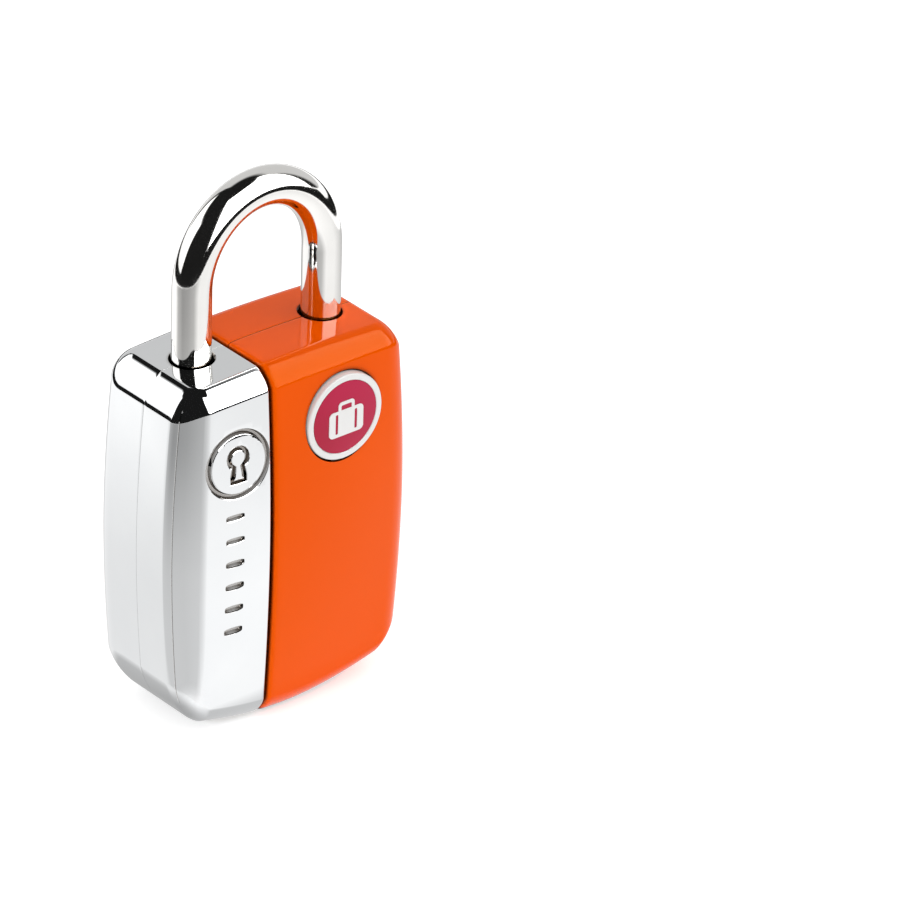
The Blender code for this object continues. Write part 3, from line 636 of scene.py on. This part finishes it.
def groove(name, path, half_width, closed):
    """A round-bottomed groove cutter along points of the front face, following its crown.

    An open groove runs out to nothing at both ends.
    """
    sections = []
    count = len(path)
    for index, (x, z) in enumerate(path):
        before = path[(index - 1) % count] if closed or index else path[0]
        after = path[(index + 1) % count] if closed or index < count - 1 else path[-1]
        along = Vector((after[0] - before[0], after[1] - before[1])).normalized()
        swell = 1.0
        if not closed:
            swell = (GROOVE_RUNOUT + (1.0 - GROOVE_RUNOUT)
                     * math.sin(math.pi * index / (count - 1)) ** 0.5)
        across = Vector((-along.y, along.x)) * swell
        section = []
        for reach, depth in GROOVE_PROFILE:
            px, pz = x + across.x * half_width * reach, z + across.y * half_width * reach
            section.append((px, front_y(px, pz) + GROOVE_DEPTH * depth * swell, pz))
        for reach in (GROOVE_PROFILE[-1][0], GROOVE_PROFILE[0][0]):
            px, pz = x + across.x * half_width * reach, z + across.y * half_width * reach
            section.append((px, front_y(px, pz) - GROOVE_ROOF, pz))
        sections.append(section)
    return loft(name, sections, closed)


def arc(centre, radius, start, stop, steps):
    """Points of an arc, in degrees."""
    points = []
    for step in range(steps + 1):
        angle = math.radians(start + (stop - start) * step / steps)
        points.append((centre[0] + radius * math.cos(angle),
                       centre[1] + radius * math.sin(angle)))
    return points


def mark_cutters():
    """A ring with a keyhole sign, and six plain dashes below it."""
    middle_x, middle_z = MARK_CENTRE
    ring = arc(MARK_CENTRE, RING_RADIUS, 0.0, 360.0, 72)[:-1]
    cutters = [groove("mark_ring", ring, GROOVE_HALF, True)]
    keyhole = arc((middle_x, middle_z + KEYHOLE_BOW_UP), KEYHOLE_BOW_RADIUS, *KEYHOLE_ARC, 14)
    foot_z = middle_z - KEYHOLE_FOOT_DOWN
    left_foot = (middle_x - KEYHOLE_FOOT_HALF, foot_z)
    right_foot = (middle_x + KEYHOLE_FOOT_HALF, foot_z)
    for start, stop, steps in ((keyhole[-1], left_foot, 3), (left_foot, right_foot, 2),
                               (right_foot, keyhole[0], 3)):
        for step in range(1, steps + 1):
            share = step / steps
            keyhole.append((start[0] + (stop[0] - start[0]) * share,
                            start[1] + (stop[1] - start[1]) * share))
    keyhole.pop()
    cutters.append(groove("mark_keyhole", keyhole, GROOVE_HALF * 0.85, True))
    for index in range(DASH_COUNT):
        z = DASH_TOP_Z - index * DASH_PITCH
        path = [(DASH_X - DASH_HALF * math.cos(math.pi * step / DASH_STEPS), z)
                for step in range(DASH_STEPS + 1)]
        cutters.append(groove(f"mark_dash_{index + 1}", path, GROOVE_HALF * 1.1, False))
    return cutters


# ---------------------------------------------------------------- pieces

def badge_centre():
    """Centre of the badge's front, and its radius, from the CAD plate."""
    low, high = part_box("badge_plate")
    return Vector(((low.x + high.x) / 2.0, low.y, (low.z + high.z) / 2.0)), (high.x - low.x) / 2.0


def make_covers(looks):
    """The four cover shells, with their mouths, marks and badge recess."""
    for colour, side_x, slot in (("chrome", -1.0, "chrome_plate"),
                                 ("orange", 1.0, "orange_lacquer")):
        for row, side_y in (("front", -1.0), ("rear", 1.0)):
            name = f"{colour}_{row}_cover"
            piece = shell(name + "_shell", side_x, side_y, looks[slot],
                          parting=name == "chrome_front_cover")
            if side_x < 0:
                cutters = [mouth_cutter("toe_mouth", -LEG_X, TOE_MOUTH_RADIUS)]
            else:
                cutters = [mouth_cutter("heel_mouth", LEG_X, HEEL_MOUTH_RADIUS),
                           key_mouth_cutter()]
            if name == "chrome_front_cover":
                cutters += mark_cutters()
            if name == "orange_front_cover":
                cutters.append(badge_recess_cutter())
            carve(piece, cutters)
            smooth(piece)
            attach(piece, "case")
            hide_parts(name)


def badge_recess_cutter():
    """The straight-walled recess round the badge."""
    centre, radius = badge_centre()
    surface_y = front_y(centre.x, centre.z)
    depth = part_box("badge_plate")[1].y + BADGE_UNDER - surface_y
    wall = radius + BADGE_ROOM
    profile = [(0.0, -depth), (wall, -depth), (wall, MM), (0.0, MM)]
    return turned("badge_recess", profile, (centre.x, surface_y, centre.z), "Y")


def make_badge(looks):
    """White rim, crimson dome and a plain suitcase sign."""
    centre, radius = badge_centre()
    low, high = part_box("badge_plate")
    thick = high.y - low.y
    enamel_low, enamel_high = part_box("badge_enamel")
    dome_radius = (enamel_high.x - enamel_low.x) / 2.0 + ENAMEL_EXTRA
    profile = [(0.0, -thick), (radius, -thick)]
    for step in range(7):
        angle = math.radians(90.0 * step / 6)
        profile.append((radius - BADGE_ROUND * (1.0 - math.cos(angle)),
                        -BADGE_ROUND * (1.0 - math.sin(angle))))
    profile += [(dome_radius + 0.06 * MM, 0.0), (dome_radius, -0.05 * MM),
                (dome_radius, -ENAMEL_SEAT), (0.0, -ENAMEL_SEAT)]
    plate = turned("badge_rim_plate", profile, (centre.x, low.y, centre.z), "Y",
                   look=looks["badge_rim"])
    smooth(plate)
    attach(plate, "case")
    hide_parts("badge_plate")

    foot = -ENAMEL_SEAT + 0.02 * MM
    dome = [(0.0, foot), (dome_radius - ENAMEL_GAP, foot)]
    for step in range(17):
        share = 1.0 - step / 16
        reach = (dome_radius - ENAMEL_GAP) * share
        dome.append((reach, ENAMEL_EDGE + DOME_RISE * (1.0 - share ** DOME_POWER)))
    drop = turned("badge_enamel_dome", dome, (centre.x, low.y, centre.z), "Y",
                  look=looks["badge_enamel"])
    smooth(drop)
    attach(drop, "case")
    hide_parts("badge_enamel")

    for sign in suitcase_sign(looks["badge_rim"]):
        sign.location = (centre.x, low.y - DOME_RISE + SIGN_SINK, centre.z)
        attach(sign, "case")


def round_box(centre_x, centre_z, width, height, corner):
    """Outline of a rectangle with round corners."""
    points = []
    for sign_x, sign_z, start in ((1, 1, 0), (-1, 1, 90), (-1, -1, 180), (1, -1, 270)):
        middle = (centre_x + sign_x * (width / 2.0 - corner),
                  centre_z + sign_z * (height / 2.0 - corner))
        points += arc(middle, corner, start, start + 90, 6)
    return points


def flat_sign(name, outlines, thickness, look):
    """Outlines in the XZ plane, thickened; an outline inside another is a hole."""
    curve = bpy.data.curves.new(name, "CURVE")
    curve.dimensions = "2D"
    curve.fill_mode = "BOTH"
    curve.extrude = thickness / 2.0
    for points in outlines:
        spline = curve.splines.new("POLY")
        spline.points.add(len(points) - 1)
        for target, (x, z) in zip(spline.points, points):
            target.co = (x, z, 0.0, 1.0)
        spline.use_cyclic_u = True
    made = bpy.data.objects.new(name, curve)
    curve.materials.append(look)
    bpy.context.scene.collection.objects.link(made)
    made.rotation_euler = (math.radians(90.0), 0.0, 0.0)
    return made


def suitcase_sign(look):
    """A plain white suitcase: a case with two straps, and its handle."""
    middle_z = -0.35 * MM
    strap_x = 0.95 * MM
    case = flat_sign("badge_sign_case", [
        round_box(0.0, middle_z, 3.4 * MM, 2.3 * MM, 0.4 * MM),
        round_box(-strap_x, middle_z, 0.26 * MM, 1.75 * MM, 0.1 * MM),
        round_box(strap_x, middle_z, 0.26 * MM, 1.75 * MM, 0.1 * MM),
    ], 0.1 * MM, look)
    handle = flat_sign("badge_sign_handle", [
        round_box(0.0, 1.02 * MM, 1.6 * MM, 1.0 * MM, 0.32 * MM),
        round_box(0.0, 0.98 * MM, 1.04 * MM, 0.5 * MM, 0.12 * MM),
    ], 0.09 * MM, look)
    return case, handle


def rod_path():
    """Centre line of the shackle from heel to toe, with the radius share at each point."""
    tip_steps, arch_steps = 5, 96

    def tip(x, end_z):
        """Points and shares of a leg's rounded end, from the end face up."""
        rounds = []
        for step in range(tip_steps + 1):
            angle = math.radians(90.0 * step / tip_steps)
            rounds.append(((x, 0.0, end_z + TIP_CHAMFER * (1.0 - math.cos(angle))),
                           TIP_SHARE + (1.0 - TIP_SHARE) * math.sin(angle)))
        return rounds

    path = tip(LEG_X, HEEL_END_Z)
    path.append(((LEG_X, 0.0, LEG_TOP_Z - LEG_STRAIGHT), 1.0))
    for step in range(arch_steps + 1):
        angle = math.pi * step / arch_steps
        path.append(((LEG_X * math.cos(angle), 0.0, LEG_TOP_Z + ARCH_RISE * math.sin(angle)),
                     1.0))
    path.append(((-LEG_X, 0.0, LEG_TOP_Z - LEG_STRAIGHT), 1.0))
    return path + tip(-LEG_X, TOE_END_Z)[::-1]


def make_shackle(looks):
    """The bent rod, with the same notch and groove as the CAD rod."""
    path = rod_path()
    sides = 64
    sections = []
    for index, (point, share) in enumerate(path):
        before = Vector(path[max(index - 1, 0)][0])
        after = Vector(path[min(index + 1, len(path) - 1)][0])
        along = (after - before).normalized()
        across = Vector((0.0, 1.0, 0.0))
        third = along.cross(across)
        ring = []
        for step in range(sides):
            angle = 2.0 * math.pi * step / sides
            ring.append(Vector(point) + (across * math.cos(angle) + third * math.sin(angle))
                        * WIRE_RADIUS * share)
        sections.append(ring)
    rod = loft("shackle_rod", sections, False, looks["plated_steel"])
    carve(rod, [notch_cutter(), groove_cutter()])
    smooth(rod)
    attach(rod, "shackle")
    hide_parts("shackle")


def prism(name, outline, low_y, high_y):
    """An XZ outline, thickened along Y."""
    return loft(name, [[(x, y, z) for x, z in outline] for y in (low_y, high_y)], False)


def notch_cutter():
    """The toe leg's locking notch, cut to the nose of the bolt."""
    low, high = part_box("latch_bolt")
    slope = LIFT / BOLT_TRAVEL
    mouth_x = -LEG_X + WIRE_RADIUS
    floor_x = low.x - CUT_GAP
    roof_z = high.z + CUT_GAP
    nose_root_z = high.z - BOLT_TIP_HEIGHT - slope * (mouth_x - low.x)
    flank_z = nose_root_z - CUT_GAP * math.hypot(1.0, slope)
    room = MM
    outline = [(floor_x, roof_z), (floor_x, flank_z + slope * (mouth_x - floor_x)),
               (mouth_x + room, flank_z - slope * room), (mouth_x + room, roof_z)]
    return prism("toe_notch", outline, -SLOT_HALF, SLOT_HALF)


def groove_cutter():
    """The heel leg's groove, which the retaining pin runs in."""
    low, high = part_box("heel_retaining_pin")
    left, right = low.x - CUT_GAP, high.x + CUT_GAP
    foot, roof = low.z - CUT_GAP - LIFT, high.z + CUT_GAP
    outline = [(left, foot), (right, foot), (right, roof), (left, roof)]
    return prism("heel_groove", outline, -SLOT_HALF, SLOT_HALF)


def dress_frame(looks):
    """Give every carried-over CAD node its procedural material."""
    slots = {part["node"]: part["material_slot"] for part in frame["record"]["subparts"]}
    for name, item in frame["nodes"].items():
        item.data.materials.clear()
        item.data.materials.append(looks[slots[name]])


# ---------------------------------------------------------------- stage

def math_node(tree, operation, first, second=None):
    """A math node on values or sockets."""
    made = tree.nodes.new("ShaderNodeMath")
    made.operation = operation
    for index, value in enumerate((first, second)):
        if value is None:
            continue
        if isinstance(value, (int, float)):
            made.inputs[index].default_value = value
        else:
            tree.links.new(value, made.inputs[index])
    return made.outputs["Value"]


def step_up(tree, value, edge, soft):
    """0 below an edge and 1 above it, blended over twice the soft width."""
    made = node(tree, "ShaderNodeMapRange", interpolation_type="SMOOTHSTEP")
    made.inputs["From Min"].default_value = edge - soft
    made.inputs["From Max"].default_value = edge + soft
    tree.links.new(value, made.inputs["Value"])
    return made.outputs["Result"]


def band(tree, value, limits, soft):
    """1 between two limits, with soft borders."""
    return math_node(tree, "MULTIPLY", step_up(tree, value, limits[0], soft),
                     math_node(tree, "SUBTRACT", 1.0, step_up(tree, value, limits[1], soft)))


def window(tree, azimuth, elevation, sides, heights, soft):
    """1 inside a box of azimuth and elevation, in degrees, with soft borders."""
    return math_node(tree, "MULTIPLY", band(tree, azimuth, sides, soft),
                     band(tree, elevation, heights, soft))


def direction_angles(tree, place):
    """Azimuth and elevation, in degrees, of a direction or a place round the origin."""
    split = tree.nodes.new("ShaderNodeSeparateXYZ")
    tree.links.new(place, split.inputs["Vector"])
    turn = math_node(tree, "ARCTAN2", split.outputs["X"],
                     math_node(tree, "MULTIPLY", split.outputs["Y"], -1.0))
    rise = math_node(tree, "ARCSINE", split.outputs["Z"])
    degree = 180.0 / math.pi
    return (math_node(tree, "MULTIPLY", turn, degree),
            math_node(tree, "MULTIPLY", rise, degree))


def make_world():
    """A white room; glossy surfaces see two softboxes and a grey wall in a dark studio."""
    world = bpy.data.worlds.new("studio")
    bpy.context.scene.world = world
    world.use_nodes = True
    tree = world.node_tree
    background = tree.nodes["Background"]
    place = node(tree, "ShaderNodeTexCoord").outputs["Generated"]
    azimuth, elevation = direction_angles(tree, place)
    leaning = math_node(tree, "MULTIPLY", elevation, SOFTBOX_LEAN)
    sides, heights = SOFTBOX_FRONT
    near_edge = step_up(tree, math_node(tree, "ADD", azimuth, leaning), sides[0], SOFT_FRONT)
    far_edge = step_up(tree, math_node(tree, "SUBTRACT", azimuth, leaning), sides[1],
                       SOFT_FRONT)
    front = math_node(tree, "MULTIPLY", near_edge, math_node(tree, "SUBTRACT", 1.0, far_edge))
    front = math_node(tree, "MULTIPLY", front, band(tree, elevation, heights, SOFT_PANEL))
    panels = (
        (front, GLOW_FRONT),
        (window(tree, azimuth, elevation, *SOFTBOX_LEFT, SOFT_PANEL), GLOW_LEFT),
        (window(tree, azimuth, elevation, *WALL_BACK, SOFT_BACK), GLOW_BACK),
    )
    total = DARK_ROOM
    for mask, glow in panels:
        total = math_node(tree, "ADD", math_node(tree, "MULTIPLY", mask, glow), total)
    ray = tree.nodes.new("ShaderNodeLightPath")
    mix = tree.nodes.new("ShaderNodeMix")
    tree.links.new(ray.outputs["Is Glossy Ray"], mix.inputs["Factor"])
    extra = math_node(tree, "MULTIPLY", ray.outputs["Is Camera Ray"], CAMERA_SKY - DIFFUSE_SKY)
    tree.links.new(math_node(tree, "ADD", DIFFUSE_SKY, extra), mix.inputs["A"])
    tree.links.new(total, mix.inputs["B"])
    tree.links.new(mix.outputs["Result"], background.inputs["Strength"])
    background.inputs["Color"].default_value = (1.0, 1.0, 1.0, 1.0)


def reflection_only(piece):
    """Show a stage piece in glossy reflections and nowhere else."""
    piece.visible_camera = False
    piece.visible_diffuse = False
    piece.visible_shadow = False
    piece.visible_transmission = False


def glow_material(name):
    """An emissive material, returned with its tree and emission node."""
    made = bpy.data.materials.new(name)
    made.use_nodes = True
    tree = made.node_tree
    tree.nodes.remove(tree.nodes["Principled BSDF"])
    light = tree.nodes.new("ShaderNodeEmission")
    tree.links.new(light.outputs["Emission"], tree.nodes["Material Output"].inputs["Surface"])
    return made, tree, light


def footprint_distance(tree, place):
    """Distance on the sheet, whose origin is the front left corner, to the body's footprint."""
    middle = Vector((-CHROME_LOW.x, REAR_HIGH.y, 0.0))
    for operation, other in (("SUBTRACT", middle), ("ABSOLUTE", None), ("SUBTRACT", middle),
                             ("MAXIMUM", Vector())):
        step = tree.nodes.new("ShaderNodeVectorMath")
        step.operation = operation
        tree.links.new(place, step.inputs[0])
        if other is not None:
            step.inputs[1].default_value = other
        place = step.outputs["Vector"]
    length = tree.nodes.new("ShaderNodeVectorMath")
    length.operation = "LENGTH"
    tree.links.new(place, length.inputs[0])
    return length.outputs["Value"]


def make_floor():
    """A plain white floor."""
    bm = bmesh.new()
    bmesh.ops.create_grid(bm, x_segments=1, y_segments=1, size=FLOOR_HALF)
    made, _, shader = new_material("floor_white")
    shader.inputs["Base Color"].default_value = FLOOR_TONE
    shader.inputs["Roughness"].default_value = FLOOR_ROUGHNESS
    shader.inputs["Specular IOR Level"].default_value = 0.0
    shader.inputs["Emission Color"].default_value = (1.0, 1.0, 1.0, 1.0)
    shader.inputs["Emission Strength"].default_value = FLOOR_GLOW
    floor = mesh_object("floor", bm, made)


def make_sheet():
    """A glowing grey sheet round the body, which only shows in reflections: a painted floor
    reflection whose tone is set by azimuth, with painted shadow at the body's footprint.
    """
    look, tree, light = glow_material("grey_sheet")
    place = object_place(tree)
    azimuth = direction_angles(tree, place)[0]
    turn = math_node(tree, "DIVIDE", math_node(tree, "ADD", azimuth, 180.0), 360.0)
    away = footprint_distance(tree, place)
    blend = tree.nodes.new("ShaderNodeMix")
    blend.data_type = "RGBA"
    tree.links.new(step_up(tree, away, *SHEET_MIX), blend.inputs["Factor"])
    for side, tones in (("A", SHEET_NEAR), ("B", SHEET_FAR)):
        stops = [((degrees + 180.0) / 360.0, (tone, tone, tone)) for degrees, tone in tones]
        tree.links.new(ramp(tree, turn, stops), blend.inputs[side])
    tree.links.new(blend.outputs["Result"], light.inputs["Color"])
    # painted contact shadow: the sheet glows less near the body's footprint
    contact_shade = node(tree, "ShaderNodeMapRange")
    contact_shade.inputs["From Max"].default_value = SHEET_CONTACT_SHADE_WIDTH
    contact_shade.inputs["To Min"].default_value = SHEET_CONTACT_SHADE
    tree.links.new(away, contact_shade.inputs["Value"])
    tree.links.new(contact_shade.outputs["Result"], light.inputs["Strength"])
    reach = tree.nodes.new("ShaderNodeVectorMath")
    reach.operation = "LENGTH"
    tree.links.new(place, reach.inputs[0])
    cover = step_up(tree, reach.outputs["Value"], *SHEET_OPENING)
    clear = tree.nodes.new("ShaderNodeBsdfTransparent")
    mix = tree.nodes.new("ShaderNodeMixShader")
    tree.links.new(cover, mix.inputs["Fac"])
    tree.links.new(clear.outputs["BSDF"], mix.inputs[1])
    tree.links.new(light.outputs["Emission"], mix.inputs[2])
    tree.links.new(mix.outputs["Shader"], tree.nodes["Material Output"].inputs["Surface"])
    bm = bmesh.new()
    bmesh.ops.create_circle(bm, cap_ends=True, segments=SHEET_SIDES, radius=SHEET_RADIUS)
    sheet = mesh_object("grey_sheet", bm, look)
    sheet.location = (CHROME_LOW.x, -REAR_HIGH.y, SHEET_HEIGHT)
    reflection_only(sheet)


def make_flag():
    """A low dark band round the sheet, which only shows in reflections."""
    look, _, light = glow_material("dark_flag")
    light.inputs["Strength"].default_value = DARK_ROOM
    bm = bmesh.new()
    previous = None
    for step in range(FLAG_SIDES + 1):
        turn = -180.0 + 360.0 * step / FLAG_SIDES
        height = [high for start, high in FLAG_HEIGHTS if turn >= start][-1]
        angle = math.radians(turn)
        away = Vector((math.sin(angle), -math.cos(angle), 0.0)) * FLAG_RADIUS
        pair = [bm.verts.new(away), bm.verts.new(away + Vector((0.0, 0.0, height)))]
        if previous:
            bm.faces.new((previous[0], previous[1], pair[1], pair[0]))
        previous = pair
    reflection_only(mesh_object("dark_flag", bm, look))


def make_lights():
    """One broad soft sun, which only adds a gentle direction to the white room."""
    light = bpy.data.lights.new("broad_sun", "SUN")
    light.angle = math.radians(SUN_ANGLE)
    light.energy = SUN_ENERGY
    lamp = bpy.data.objects.new("broad_sun", light)
    bpy.context.scene.collection.objects.link(lamp)
    lamp.location = SUN_PLACE
    lamp.rotation_euler = (-lamp.location).to_track_quat("-Z", "Y").to_euler()
    lamp.visible_glossy = False


def make_camera():
    """A long lens at the photograph's angle."""
    azimuth, elevation = math.radians(VIEW_AZIMUTH), math.radians(VIEW_ELEVATION)
    roll = math.radians(VIEW_ROLL)
    back = Vector((math.sin(azimuth) * math.cos(elevation),
                   -math.cos(azimuth) * math.cos(elevation), math.sin(elevation)))
    level = Vector((0.0, 0.0, 1.0)).cross(back).normalized()
    upright = back.cross(level)
    right = level * math.cos(roll) + upright * math.sin(roll)
    up = upright * math.cos(roll) - level * math.sin(roll)
    camera = bpy.data.cameras.new("camera")
    camera.lens = VIEW_LENS
    camera.clip_start, camera.clip_end = VIEW_CLIP
    item = bpy.data.objects.new("camera", camera)
    bpy.context.scene.collection.objects.link(item)
    turn = Matrix((right, up, back)).transposed().to_4x4()
    place = right * AIM_RIGHT + up * AIM_UP + back * VIEW_DISTANCE
    item.matrix_world = Matrix.Translation(place) @ turn
    bpy.context.scene.camera = item


def main():
    """Build everything round the frame."""
    looks = make_materials()
    dress_frame(looks)
    make_covers(looks)
    make_badge(looks)
    make_shackle(looks)
    make_world()
    make_floor()
    make_sheet()
    make_flag()
    make_lights()
    make_camera()
    bpy.context.scene.view_settings.view_transform = "Standard"


main()
